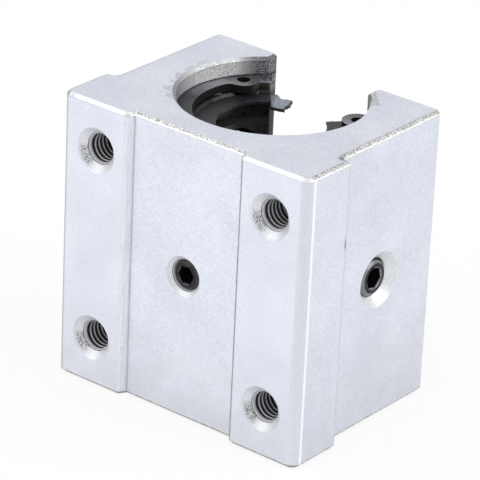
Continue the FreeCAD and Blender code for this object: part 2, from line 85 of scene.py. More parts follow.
class Shader:
    """A material with short ways to add and join its nodes."""

    def __init__(self, name):
        self.material = bpy.data.materials.new(name)
        self.material.use_nodes = True
        self.tree = self.material.node_tree
        self.tree.nodes.clear()
        self.output = self.tree.nodes.new("ShaderNodeOutputMaterial")
        self.surface = self.node("ShaderNodeBsdfPrincipled")
        self.join(self.surface.outputs[0], self.output.inputs["Surface"])
        self.place = self.node("ShaderNodeTexCoord").outputs["Object"]
        self.millimetres = self.scaled(self.place, (1000, 1000, 1000))

    def node(self, kind, **settings):
        node = self.tree.nodes.new(kind)
        for name, value in settings.items():
            setattr(node, name, value)
        return node

    def join(self, source, target):
        self.tree.links.new(source, target)

    def feed(self, target, value):
        """Joins a socket to an input, or writes a plain value in it."""
        if isinstance(value, bpy.types.NodeSocket):
            self.join(value, target)
        else:
            target.default_value = value

    def math(self, operation, first, second=0.0):
        node = self.node("ShaderNodeMath", operation=operation)
        for socket, value in zip(node.inputs, (first, second)):
            self.feed(socket, value)
        return node.outputs[0]

    def plus(self, first, second):
        return self.math("ADD", first, second)

    def minus(self, first, second):
        return self.math("SUBTRACT", first, second)

    def times(self, first, *others):
        product = first
        for other in others:
            product = self.math("MULTIPLY", product, other)
        return product

    def most(self, first, *others):
        """The highest of some values, which joins masks into one."""
        highest = first
        for other in others:
            highest = self.math("MAXIMUM", highest, other)
        return highest

    def absolute(self, value):
        return self.math("ABSOLUTE", value)

    def length(self, first, second):
        return self.math("SQRT", self.plus(self.times(first, first), self.times(second, second)))

    def scaled(self, vector, factors):
        node = self.node("ShaderNodeVectorMath", operation="MULTIPLY")
        self.feed(node.inputs[0], vector)
        self.feed(node.inputs[1], factors)
        return node.outputs[0]

    def axes(self, vector):
        node = self.node("ShaderNodeSeparateXYZ")
        self.join(vector, node.inputs[0])
        return node.outputs

    def noise(self, scale, detail=2.0, roughness=0.5, vector=None):
        """Fractal noise. With coordinates in millimetres, the scale is features per millimetre."""
        node = self.node("ShaderNodeTexNoise")
        self.join(vector or self.millimetres, node.inputs["Vector"])
        node.inputs["Scale"].default_value = scale
        node.inputs["Detail"].default_value = detail
        node.inputs["Roughness"].default_value = roughness
        return node.outputs["Fac"]

    def span(self, value, low, high, to_low=0.0, to_high=1.0):
        """Runs from one value to another while the input runs from low to high, and stays at the ends."""
        node = self.node("ShaderNodeMapRange")
        self.feed(node.inputs[0], value)
        for socket, number in zip(node.inputs[1:5], (low, high, to_low, to_high)):
            socket.default_value = number
        return node.outputs[0]

    def mix(self, share, first, second):
        """A mix of two colours."""
        node = self.node("ShaderNodeMix", data_type="RGBA")
        self.feed(node.inputs[0], share)
        for socket, value in ((node.inputs[6], first), (node.inputs[7], second)):
            self.feed(socket, value if isinstance(value, bpy.types.NodeSocket) else (*value, 1))
        return node.outputs[2]

    def blend(self, share, first, second):
        """A mix of two numbers."""
        node = self.node("ShaderNodeMix", data_type="FLOAT")
        self.feed(node.inputs[0], share)
        self.feed(node.inputs[2], first)
        self.feed(node.inputs[3], second)
        return node.outputs[0]

    def bump(self, height, distance, strength):
        """Relief of a height, with its distance in millimetres."""
        node = self.node("ShaderNodeBump")
        node.inputs["Strength"].default_value = strength
        node.inputs["Distance"].default_value = distance * MM
        self.join(height, node.inputs["Height"])
        return node.outputs[0]

    def set(self, **values):
        """Sets or feeds inputs of the surface, by short names."""
        names = {"colour": "Base Color", "metal": "Metallic", "rough": "Roughness", "normal": "Normal",
                 "coat": "Coat Weight", "coat_rough": "Coat Roughness", "specular": "Specular IOR Level"}
        for name, value in values.items():
            if isinstance(value, tuple):
                value = (*value, 1)
            self.feed(self.surface.inputs[names[name]], value)


# ---- materials -------------------------------------------------------------------------------


def sink_masks(look, x, y, z):
    """Masks for the countersinks of the mounting face and of the side, and for the holes' nicked corner."""
    sink_radius, locating_radius, adjusting_radius = 3.30, 3.0, 4.34
    across = look.minus(x, look.times(look.math("SIGN", x), HOLES_ACROSS))
    up = look.minus(z, look.times(look.math("SIGN", z), HOLES_ALONG))
    hole = look.length(across, up)
    lean = look.plus(look.times(across, -0.85), look.times(up, -0.53))
    corner = look.span(look.math("DIVIDE", lean, hole), 0.80, 0.95)

    past_hole = look.minus(hole, sink_radius)
    past_locating = look.minus(look.length(x, z), locating_radius)
    front = look.times(look.span(look.math("MINIMUM", past_hole, past_locating), 0.08, -0.14),
                       look.span(y, FACE + 0.03, FACE + 0.06), look.span(y, FACE + 3.2, FACE + 3.0))
    side = look.times(look.span(look.length(y, z), adjusting_radius + 0.02, adjusting_radius - 0.02),
                      look.span(x, 12.0, 14.5), look.span(x, BODY_SIDE - 0.01, BODY_SIDE - 0.04))
    return look.most(front, side), look.times(corner, front)


def housing_places(look):
    """Coordinates and masks for the places of the housing that have their own finish, or their own painted
    highlights and painted shade.
    """
    x, y, z = look.axes(look.millimetres)
    normal = look.axes(look.node("ShaderNodeNewGeometry").outputs["Normal"])
    nx = normal["X"]
    nz = normal["Z"]
    side = look.absolute(x)
    ragged = look.minus(look.noise(1.7, 4.0, 0.65), 0.5)
    upright = look.span(look.absolute(nz), 0.9, 0.8)
    radius = look.length(x, y)
    places = {"x": x, "y": y, "z": z, "side": side, "radius": radius, "nx": nx, "ragged": ragged}

    depth = look.minus(HALF_LENGTH, look.absolute(z))
    places["depth"] = look.plus(depth, look.times(ragged, 0.5))
    end_edge = look.times(look.span(places["depth"], 0.60, 0.48), upright)
    reach = look.plus(side, look.times(ragged, 0.5))
    body_border = look.times(look.span(reach, BODY_SIDE - 0.72, BODY_SIDE - 0.60),
                             look.span(y, FLANGE_BACK + 0.1, FLANGE_BACK + 0.4))
    border = look.most(body_border, look.span(reach, FLANGE_SIDE - 0.72, FLANGE_SIDE - 0.60))
    places["end_edge"] = look.most(end_edge, look.times(border, look.span(depth, 0.06, 0.02)))

    flank = look.times(look.span(side, OPENING_SIDE + 0.50, OPENING_SIDE + 0.42), look.span(y, 9.0, 9.4))
    turned = look.times(look.span(side, OPENING_SIDE + 0.8, OPENING_SIDE + 0.7),
                        look.span(y, REAR - 1.05, REAR - 1.0))
    inside = look.most(look.span(radius, BORE + 0.85, BORE + 0.75), look.most(flank, turned))
    places["bore_wall"] = look.times(inside, upright)
    filed = look.times(look.span(nz, 0.993, 0.985), look.span(nz, 0.96, 0.97))
    places["filed"] = look.times(filed, look.span(z, HALF_LENGTH - 0.6, HALF_LENGTH - 0.5))
    places["sink"], places["nicked_sink"] = sink_masks(look, x, y, z)
    return places


def edge_colour(look, at, face, speck, coarse):
    """End edges: bare and nicked along the mounting face under a painted highlight, dark and speckled along
    the sides with a painted highlight line at their lower border, plain behind and on the left, and with
    painted shade along the lower end.
    """
    # Partly bare metal, partly a painted highlight on the edges that face the front lights.
    bright = look.mix(look.span(speck, 0.52, 0.60), (0.98, 0.98, 1.0), (0.42, 0.41, 0.40))
    bright = look.mix(look.span(coarse, 0.40, 0.62, 0.05, 0.85), bright, face)
    dark = look.mix(look.span(speck, 0.44, 0.60), (0.26, 0.25, 0.24), (0.90, 0.90, 0.92))
    # A painted highlight line along the lower border of the side edges.
    line = look.mix(look.span(speck, 0.36, 0.44), (0.55, 0.54, 0.53), (1.0, 1.0, 1.0))
    sideways = look.mix(look.span(at["depth"], 0.28, 0.36), dark, line)
    edge = look.mix(look.span(at["y"], FACE + 0.6, FACE + 1.2), bright, sideways)
    plain = look.mix(look.span(speck, 0.50, 0.62), face, (0.40, 0.41, 0.43))
    # Behind and on the left, the edges keep the face colour and have no painted highlight.
    behind = look.span(at["y"], REAR - 0.7, REAR - 0.4)
    on_left = look.span(at["x"], 0.8 - BODY_SIDE, 0.4 - BODY_SIDE)
    edge = look.mix(look.most(behind, on_left), edge, plain)
    # Painted shade on the edges of the lower end.
    under = look.mix(look.span(speck, 0.40, 0.60), (0.24, 0.23, 0.22), (0.52, 0.52, 0.52))
    return look.mix(look.span(at["z"], 0.0, -0.1), edge, under)


def bore_colour(look, at, speck, coarse):
    """The bore's wall: burnished across its sides, with painted shade towards the front, pitting and painted
    shade towards the rail opening, and painted shade deep down below the ring.
    """
    burnished = look.mix(look.span(coarse, 0.35, 0.65), (0.72, 0.73, 0.75), (1.0, 1.0, 1.0))
    burnished = look.mix(look.span(speck, 0.53, 0.60), burnished, (0.25, 0.25, 0.26))
    # Painted shade on the front of the wall.
    shaded_front = look.mix(look.span(speck, 0.38, 0.58), (0.12, 0.12, 0.13), (0.47, 0.47, 0.50))
    # Real pitting, darkened by painted shade, towards the rail opening.
    pitted_and_shaded = look.mix(look.span(speck, 0.44, 0.60), (0.05, 0.05, 0.055), (0.40, 0.40, 0.42))
    wall = look.mix(look.span(at["y"], 0.5, -6.0), burnished, shaded_front)
    wall = look.mix(look.span(at["y"], 6.6, 9.2), wall, pitted_and_shaded)
    # Painted shade deeper in the bore, below the ring.
    below_ring = look.span(at["z"], 17.6, 16.6, 0.0, 0.8)
    wall = look.mix(below_ring, wall, (0.03, 0.028, 0.028))
    above_ring = look.plus(at["z"], look.times(at["ragged"], 0.25))
    seam = look.times(look.span(above_ring, 20.02, 19.90), look.span(at["z"], 19.5, 19.7))
    return look.mix(seam, wall, (0.035, 0.030, 0.028))


def corner_colour(look, at, face, speck):
    """The rounded corners of the mounting face: painted shade on the right one with a painted highlight line
    behind it, and darker on the left one.
    """
    # Painted shade: the right rounded corner is greyer, standing in for a darker reflection.
    fillet_shade = look.mix(look.span(speck, 0.40, 0.62), (0.76, 0.785, 0.85), (0.64, 0.66, 0.71))
    corner = look.times(look.span(at["x"], FLANGE_SIDE - 1.52, FLANGE_SIDE - 1.38),
                        look.span(at["y"], FACE + 1.28, FACE + 1.18))
    face = look.mix(corner, face, fillet_shade)
    # A painted highlight: a near-white line where the right corner meets the side face.
    line = look.times(look.span(at["y"], FACE + 1.18, FACE + 1.24),
                      look.span(at["y"], FACE + 1.75, FACE + 1.6),
                      look.span(at["x"], FLANGE_SIDE - 0.3, FLANGE_SIDE - 0.2))
    face = look.mix(line, face, (0.97, 0.97, 1.0))
    # Darker on the left rounded corner.
    left_corner = look.times(look.span(at["nx"], -0.25, -0.65),
                             look.span(at["x"], 1.6 - FLANGE_SIDE, 1.3 - FLANGE_SIDE))
    return look.mix(left_corner, face, (0.36, 0.36, 0.38))


def recess_colour(look, at, face):
    """The recess of the mounting face, whose draw marks run along the block, with painted shade in the
    corners at the feet of its walls and on its right wall, which faces away.
    """
    floor = FACE + RECESS_DEPTH
    drawn = look.noise(1.0, 3.0, 0.6, look.scaled(look.place, (5200, 5200, 380)))
    wall = look.times(look.span(at["y"], FACE + 0.05, FACE + 0.12),
                      look.span(at["y"], floor + 0.05, floor + 0.02),
                      look.span(look.absolute(at["nx"]), 0.2, 0.5),
                      look.span(at["side"], RECESS_MOUTH + 1.0, RECESS_MOUTH + 0.7))
    nicked = look.span(look.noise(2.4, 4.0, 0.7), 0.60, 0.68)
    nicks = look.mix(nicked, (0.76, 0.78, 0.84), (0.42, 0.41, 0.41))
    face = look.mix(wall, face, look.mix(look.span(drawn, 0.35, 0.65), nicks, (0.88, 0.90, 0.95)))

    # Painted shade: a dark line in the corners at the feet of the recess walls, stronger on the right.
    reach = look.plus(at["side"], look.times(at["ragged"], 0.25))
    foot_shade = look.times(look.span(reach, RECESS_FOOT - 0.23, RECESS_FOOT - 0.13),
                      look.span(reach, RECESS_FOOT + 0.21, RECESS_FOOT + 0.13),
                      look.span(at["y"], floor - 0.2, floor - 0.1),
                      look.span(at["y"], floor + 0.3, floor + 0.2),
                      look.span(at["x"], -1.0, 1.0, 0.35, 0.9))
    face = look.mix(foot_shade, face, (0.24, 0.24, 0.25))
    # Painted shade on the right recess wall, which faces away.
    shaded = look.times(look.span(at["nx"], -0.25, -0.5), look.span(at["x"], 9.0, 9.5),
                        look.span(at["x"], 12.0, 11.8), look.span(at["y"], floor - 0.2, floor - 0.3))
    return look.mix(shaded, face, (0.30, 0.30, 0.315))


def flange_colour(look, at, face, speck, coarse):
    """The step behind the flanges: a grey line with one nick in it."""
    level = look.plus(at["y"], look.times(at["ragged"], 0.2))
    step = look.times(look.span(level, FLANGE_BACK - 0.28, FLANGE_BACK - 0.20),
                      look.span(at["side"], FLANGE_SIDE - 0.4, FLANGE_SIDE - 0.2),
                      look.span(at["y"], FLANGE_BACK + 1.7, FLANGE_BACK + 1.3),
                      look.span(coarse, 0.40, 0.60, 0.10, 0.40))
    face = look.mix(step, face, (0.40, 0.395, 0.40))
    nick_level, nick_height = -10.95, 9.9
    away = look.length(look.minus(at["y"], nick_level), look.times(look.minus(at["z"], nick_height), 0.28))
    nick = look.times(look.span(away, 0.36, 0.12), look.span(at["x"], FLANGE_SIDE - 0.5, FLANGE_SIDE - 0.2),
                      look.span(speck, 0.40, 0.52))
    return look.mix(nick, face, (0.30, 0.295, 0.30))


def worn_colour(look, at, face, speck):
    """Scuffs beside the bore, and burrs and dirt at upper corners."""
    upper = look.span(at["z"], HALF_LENGTH - 0.06, HALF_LENGTH - 0.02)
    reach = look.minus(at["radius"], look.span(look.noise(0.9, 4.0, 0.7), 0.40, 0.70, 0.0, 2.4))
    beside = look.times(look.span(reach, BORE + 0.75, BORE + 0.35), look.span(at["x"], -8.0, -10.0),
                        look.span(look.absolute(look.plus(at["y"], 4.5)), 8.5, 6.5))
    scuff = look.times(upper, beside, look.span(speck, 0.40, 0.60, 0.10, 0.75))
    face = look.mix(scuff, face, (0.42, 0.43, 0.45))
    marks = (((-10.4, FACE + 0.2, 22.3), 0.42, (0.12, 0.10, 0.085)),
             ((-10.7, FACE + 0.4, 20.9), 0.30, (0.34, 0.33, 0.32)),
             ((10.25, FACE + 0.45, 21.8), 0.62, (0.34, 0.34, 0.35)),
             ((21.1, -10.6, 22.2), 1.0, (0.30, 0.295, 0.29)),
             ((-22.0, FACE + 0.5, 22.0), 0.75, (0.40, 0.40, 0.41)))
    for place, size, colour in marks:
        offset = look.node("ShaderNodeVectorMath", operation="DISTANCE")
        look.join(look.millimetres, offset.inputs[0])
        offset.inputs[1].default_value = place
        away = look.plus(offset.outputs["Value"], look.times(at["ragged"], 0.6))
        face = look.mix(look.span(away, size, size * 0.6), face, colour)
    return face


def blasted_aluminium():
    """Bead-blasted, clear anodised aluminium with bare, hand-deburred edges and bores, under painted
    highlights and painted shade.
    """
    look = Shader("blasted_aluminium")
    at = housing_places(look)
    grain = look.noise(3.0, 5.0, 0.75)
    fine = look.noise(9.0, 2.0, 0.6)
    cloud = look.noise(0.12, 3.0, 0.5)
    coarse = look.noise(1.5, 5.0, 0.75)
    speck = look.noise(5.5, 3.0, 0.8)

    tone = look.plus(look.span(grain, 0.25, 0.75, -0.8, 0.8), look.span(cloud, 0.3, 0.7, -0.25, 0.25))
    face = look.mix(look.span(tone, -1.0, 1.0), (0.60, 0.63, 0.71), (0.90, 0.925, 1.0))
    # Darker and warmer towards the bottom, in blotches.
    blotches = look.span(look.noise(0.35, 3.0), 0.35, 0.65, 0.3, 0.9)
    low = look.times(look.span(at["z"], -6.0, -21.0), blotches)
    face = look.mix(look.times(low, 0.55), face, (0.66, 0.645, 0.66))
    face = corner_colour(look, at, face, speck)
    face = recess_colour(look, at, face)
    face = flange_colour(look, at, face, speck, coarse)
    face = worn_colour(look, at, face, speck)
    face = look.mix(at["end_edge"], face, edge_colour(look, at, face, speck, coarse))
    filed = look.mix(look.span(speck, 0.42, 0.58), (0.36, 0.37, 0.39), (0.78, 0.79, 0.82))
    face = look.mix(at["filed"], face, filed)
    face = look.mix(at["bore_wall"], face, bore_colour(look, at, speck, coarse))
    cone = look.mix(look.span(grain, 0.35, 0.65), (0.70, 0.71, 0.74), (0.86, 0.87, 0.89))
    chatter = look.times(look.span(speck, 0.46, 0.56), at["nicked_sink"])
    face = look.mix(at["sink"], face, look.mix(chatter, cone, (0.16, 0.16, 0.165)))

    rough = look.blend(at["end_edge"], 0.5, 0.34)
    rough = look.blend(at["bore_wall"], rough, 0.62)
    metal = look.blend(at["bore_wall"], 0.85, 0.35)
    height = look.plus(grain, look.times(fine, 0.5))
    cut = look.most(look.times(at["end_edge"], 4.0), look.times(at["filed"], 3.0))
    height = look.plus(height, look.times(coarse, cut))
    pits = look.most(look.times(at["bore_wall"], 3.0), look.times(at["nicked_sink"], 3.0))
    height = look.plus(height, look.times(speck, pits))
    look.set(colour=face, metal=metal, rough=rough, normal=look.bump(height, 0.04, 0.55))
    return look.material


def thread_metal():
    """A cut thread: bright crests over roots darkened by painted shade."""
    look = Shader("cut_thread")
    grain = look.noise(6.0, 3.0, 0.6)
    # The depth attribute sets the painted shade: near black in the roots, none on the crests and the land.
    root = look.node("ShaderNodeAttribute", attribute_name="depth").outputs["Fac"]
    shade = look.span(look.plus(root, look.times(grain, 0.2)), 0.22, 0.58)
    look.set(colour=look.mix(shade, (0.95, 0.95, 0.98), (0.022, 0.022, 0.028)),
             metal=look.blend(shade, 0.15, 0.8), rough=look.blend(shade, 0.45, 0.55),
             normal=look.bump(grain, 0.01, 0.3))
    return look.material


def greasy_steel():
    """The bearing sleeve: ground steel under brown-black grease, with a light streak on its end."""
    look = Shader("greasy_steel")
    x, y, z = look.axes(look.millimetres)
    smear = look.noise(0.55, 4.0, 0.6, look.scaled(look.place, (1000, 1000, 2600)))
    film = look.noise(2.2, 3.0, 0.5)
    colour = look.mix(look.span(smear, 0.40, 0.66), (0.012, 0.010, 0.009), (0.060, 0.050, 0.043))
    colour = look.mix(look.span(film, 0.63, 0.70), colour, (0.13, 0.115, 0.10))

    streak_across, streak_level = 12.0, 2.4
    across = look.times(look.minus(look.absolute(x), streak_across), 0.9)
    away = look.length(across, look.times(look.minus(y, streak_level), 0.42))
    away = look.plus(away, look.times(look.minus(film, 0.5), 1.3))
    on_end = look.span(look.absolute(z), 18.2, 18.45)
    streak = look.times(look.span(away, 0.42, 0.16), on_end, 0.9)
    colour = look.mix(streak, colour, (0.80, 0.77, 0.76))
    look.set(colour=colour, metal=0.6, rough=look.span(smear, 0.3, 0.7, 0.20, 0.38),
             normal=look.bump(look.plus(smear, look.times(film, 0.4)), 0.12, 0.6))
    return look.material


def spring_steel_finish():
    """Phosphated spring steel with a satin sheen, with painted shadow towards the mounting face, darker
    towards the rear and nearly black on its edges.
    """
    look = Shader("phosphated_spring_steel")
    y = look.axes(look.millimetres)["Y"]
    nz = look.axes(look.node("ShaderNodeNewGeometry").outputs["Normal"])["Z"]
    grain = look.noise(7.0, 3.0, 0.6)
    smear = look.noise(0.7, 3.0, 0.6)
    unshaded = look.mix(look.span(grain, 0.35, 0.65), (0.26, 0.265, 0.285), (0.36, 0.365, 0.39))
    # Painted shadow from the bore's front wall, falling on the ring towards the mounting face.
    front_shade = look.mix(look.span(grain, 0.35, 0.65), (0.040, 0.042, 0.050), (0.075, 0.078, 0.090))
    reach = look.plus(y, look.times(look.minus(smear, 0.5), 5.0))
    colour = look.mix(look.span(reach, 2.2, -4.2), unshaded, front_shade)
    # Darker towards the rear.
    colour = look.mix(look.span(reach, 4.5, 6.6), colour, (0.14, 0.142, 0.155))
    # Nearly black on the edges.
    colour = look.mix(look.span(look.absolute(nz), 0.7, 0.4), colour, (0.030, 0.026, 0.026))
    look.set(colour=colour, metal=0.7, rough=look.span(smear, 0.3, 0.7, 0.50, 0.36),
             normal=look.bump(grain, 0.012, 0.5))
    return look.material


def soft_dark(name, dark, light, rough):
    """Dark rubber or resin with a thin, uneven film of grease."""
    look = Shader(name)
    grain = look.noise(3.0, 4.0, 0.6)
    film = look.noise(0.5, 3.0, 0.6)
    look.set(colour=look.mix(look.span(grain, 0.35, 0.65), dark, light),
             rough=look.span(film, 0.35, 0.65, rough * 0.7, rough * 1.3),
             coat=look.span(film, 0.45, 0.62, 0.0, 0.35), coat_rough=0.3, specular=0.3,
             normal=look.bump(look.plus(grain, look.times(film, 2.0)), 0.04, 0.5))
    return look.material


def black_oxide_finish():
    """Black oxide on the set screws, with worn patches, and painted highlights on their chamfers and round
    their sockets, stronger on the adjusting screw.
    """
    look = Shader("black_oxide")
    x, y, z = look.axes(look.millimetres)
    grain = look.noise(7.0, 4.0, 0.65)
    wear = look.noise(1.3, 3.0, 0.6)
    colour = look.mix(look.span(grain, 0.3, 0.7), (0.012, 0.012, 0.015), (0.036, 0.035, 0.042))
    colour = look.mix(look.span(wear, 0.60, 0.70), colour, (0.08, 0.08, 0.09))

    adjusting = look.span(x, 10.0, 10.1)
    reach = look.blend(adjusting, look.math("DIVIDE", look.length(x, z), LOCATING.radius),
                       look.math("DIVIDE", look.length(y, z), ADJUSTING.radius))
    down = look.blend(adjusting, look.plus(y, LOCATING.face), look.minus(ADJUSTING.face, x))
    # Painted highlights on the chamfers and on the rim round the socket.
    chamfer = look.times(look.span(reach, 0.77, 0.80), look.span(down, 0.60, 0.52))
    rim = look.times(look.span(reach, 0.66, 0.64), look.span(down, 0.24, 0.17), look.span(down, 0.004, 0.02))
    screw_highlight = look.times(look.most(chamfer, look.times(rim, 0.9)), look.span(grain, 0.3, 0.5, 0.6, 1.0),
                        look.blend(adjusting, 0.2, 1.0))
    colour = look.mix(screw_highlight, colour, (0.25, 0.25, 0.27))
    look.set(colour=colour, metal=0.8, rough=look.span(grain, 0.3, 0.7, 0.28, 0.42),
             normal=look.bump(grain, 0.012, 0.5))
    return look.material


def polished_balls():
    """Polished bearing steel under a film of grease."""
    look = Shader("polished_balls")
    film = look.noise(1.2, 2.0, 0.5)
    look.set(colour=look.mix(look.span(film, 0.35, 0.65), (0.50, 0.48, 0.45), (0.78, 0.78, 0.79)), metal=1.0,
             rough=look.span(film, 0.35, 0.65, 0.16, 0.06))
    return look.material


def torn_rubber():
    """The torn ends of a seal: black rubber whose greasy top faces are made pale by a painted sheen."""
    look = Shader("torn_rubber")
    torn_sheen = look.node("ShaderNodeAttribute", attribute_name="torn_sheen").outputs["Fac"]
    grain = look.noise(3.5, 4.0, 0.65)
    pale = look.mix(look.span(grain, 0.35, 0.65), (0.17, 0.20, 0.26), (0.42, 0.47, 0.55))
    look.set(colour=look.mix(torn_sheen, (0.012, 0.012, 0.014), pale), rough=0.45,
             normal=look.bump(grain, 0.06, 0.6))
    return look.material


thread = thread_metal()
black_oxide = black_oxide_finish()
balls = polished_balls()
torn = torn_rubber()

FINISHES = {
    "anodised_aluminium": blasted_aluminium(),
    "bearing_steel": greasy_steel(),
    "spring_steel": spring_steel_finish(),
    "ball_steel": balls,
    "retainer_resin": soft_dark("retainer_resin", (0.016, 0.016, 0.018), (0.045, 0.045, 0.05), 0.4),
    "seal_rubber": soft_dark("seal_rubber", (0.008, 0.008, 0.010), (0.024, 0.025, 0.030), 0.42),
    "black_oxide_steel": black_oxide,
}
for subpart in frame["record"]["subparts"]:
    piece = nodes[subpart["node"]]
    piece.data.materials.clear()
    piece.data.materials.append(FINISHES[subpart["material_slot"]])


# ---- meshes ----------------------------------------------------------------------------------


def add_piece(name, bm, material, body, smooth=True, replaced=()):
    """Makes an object of a mesh in millimetres, and says what it rides on and stands for."""
    bmesh.ops.scale(bm, vec=(MM, MM, MM), verts=bm.verts)
    mesh = bpy.data.meshes.new(name)
    bm.to_mesh(mesh)
    bm.free()
    if smooth:
        mesh.shade_smooth()
    mesh.materials.append(material)
    piece = bpy.data.objects.new(name, mesh)
    scene.collection.objects.link(piece)
    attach(piece, body)
    if replaced:
        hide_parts(*replaced)
    return piece


def join_rings(bm, rings):
    """Fills the quads between rings of as many vertices, each closed on itself."""
    for lower, upper in zip(rings, rings[1:]):
        for one, two, three, four in zip(lower, lower[1:] + lower[:1], upper[1:] + upper[:1], upper):
            bm.faces.new((one, two, three, four))


def islands(mesh):
    """The centres of the separate solids of a mesh, in millimetres."""
    bm = bmesh.new()
    bm.from_mesh(mesh)
    bmesh.ops.remove_doubles(bm, verts=bm.verts, dist=0.002 * MM)
    left = set(bm.verts)
    centres = []
    while left:
        found = set()
        front = [left.pop()]
        while front:
            vert = front.pop()
            found.add(vert)
            for edge in vert.link_edges:
                other = edge.other_vert(vert)
                if other in left:
                    left.discard(other)
                    front.append(other)
        low = Vector([min(v.co[axis] for v in found) for axis in range(3)])
        high = Vector([max(v.co[axis] for v in found) for axis in range(3)])
        centres.append((low + high) / 2 / MM)
    bm.free()
    return sorted(centres, key=lambda centre: tuple(round(c, 3) for c in centre))


BALL_RADIUS = 2.381 / 2


def make_balls():
    """True spheres in place of each group's faceted balls."""
    for name in sorted(nodes):
        if not name.endswith("_balls"):
            continue
        bm = bmesh.new()
        for centre in islands(nodes[name].data):
            place = Matrix.Translation(centre)
            bmesh.ops.create_icosphere(bm, subdivisions=3, radius=BALL_RADIUS, matrix=place)
        add_piece(name + "_polished", bm, balls, name, replaced=(name,))


HELIX_STEPS = 48
HELIX_FADE = 0.25


def helix(bm, profile, pitch, low, high, frame_of):
    """Sweeps a thread's profile, given as (share of the pitch, radius, depth), up a screw line.

    The ridge grows from the profile's first radius at the line's start, and sinks back to it at the end.
    """
    depth_layer = bm.verts.layers.float.new("depth")
    turns = (high - low) / pitch
    rest = profile[0][1]
    rows = []
    for step in range(int(turns * HELIX_STEPS) + 1):
        turn = step / HELIX_STEPS
        grown = max(0.0, min(1.0, turn / HELIX_FADE, (turns - turn) / HELIX_FADE))
        row = []
        for share, radius, depth in profile:
            reach = rest + (radius - rest) * grown
            vert = bm.verts.new(frame_of(reach, turn * math.tau, low + (turn + share - 0.5) * pitch))
            vert[depth_layer] = depth
            row.append(vert)
        rows.append(row)
    for before, after in zip(rows, rows[1:]):
        for one, two, three, four in zip(before, after, after[1:], before[1:]):
            bm.faces.new((one, two, three, four))


def hole_frame(place, out):
    """Gives the place at a radius, a turn and a distance along the way out of a hole."""
    out = Vector(out)
    across = out.orthogonal().normalized()
    up = out.cross(across)

    def frame_of(reach, turn, along):
        ring = across * math.cos(turn) + up * math.sin(turn)
        return Vector(place) + ring * reach + out * along

    return frame_of


M5_PITCH = 0.8
LAND_STEPS = 64


def inner_thread(name, place, wall, start, mouth):
    """An M5 thread's ridges on the wall of a hole in the mounting face, under a worn land at its mouth."""
    frame_of = hole_frame(place, (0, -1, 0))
    crest = wall - 0.54 * M5_PITCH
    # The third number of each point sets the thread's painted shade: 1 for the roots and the thin dark rings
    # round the land, 0 for the crests and the land.
    profile = [(0.0, wall + 0.02, 1.0), (0.06, wall - 0.03, 1.0), (0.40, crest + 0.02, 0.25),
               (0.46, crest, 0.0), (0.54, crest, 0.0), (0.60, crest + 0.02, 0.25),
               (0.94, wall - 0.03, 1.0), (1.0, wall + 0.02, 1.0)]
    land = [(0.0, wall - 0.01, 1.0), (0.07, wall - 0.04, 1.0), (0.10, wall - 0.05, 0.0),
            (0.56, wall - 0.26, 0.0), (0.64, wall - 0.12, 1.0), (0.72, wall - 0.005, 1.0)]
    land_length = 0.80
    bm = bmesh.new()
    helix(bm, profile, M5_PITCH, start, mouth - land_length, frame_of)
    depth_layer = bm.verts.layers.float["depth"]
    rings = []
    for down, reach, depth in land:
        ring = []
        for step in range(LAND_STEPS):
            vert = bm.verts.new(frame_of(reach, math.tau * step / LAND_STEPS, mouth - down))
            vert[depth_layer] = depth
            ring.append(vert)
        rings.append(ring)
    join_rings(bm, rings)
    bmesh.ops.recalc_face_normals(bm, faces=bm.faces)
    add_piece(name, bm, thread, "block")


def make_threads():
    for side, side_name in ((-1, "left"), (1, "right")):
        for along, level_name in ((-1, "lower"), (1, "upper")):
            place = (side * HOLES_ACROSS, 0, along * HOLES_ALONG)
            inner_thread(f"thread_{side_name}_{level_name}", place, wall=2.44, start=8.2, mouth=18.92)
    inner_thread("thread_locating", (0, 0, 0), wall=2.5, start=14.2, mouth=18.2)


SCREW_STEPS = 96
SCREW_LENGTH = 6.0
SCREW_CHAMFER = 0.62
SCREW_LEVEL = 0.07
SOCKET_TIP = 3.1
SOCKET_FLOOR = 2.6
SOCKET_CHAMFER = 0.18


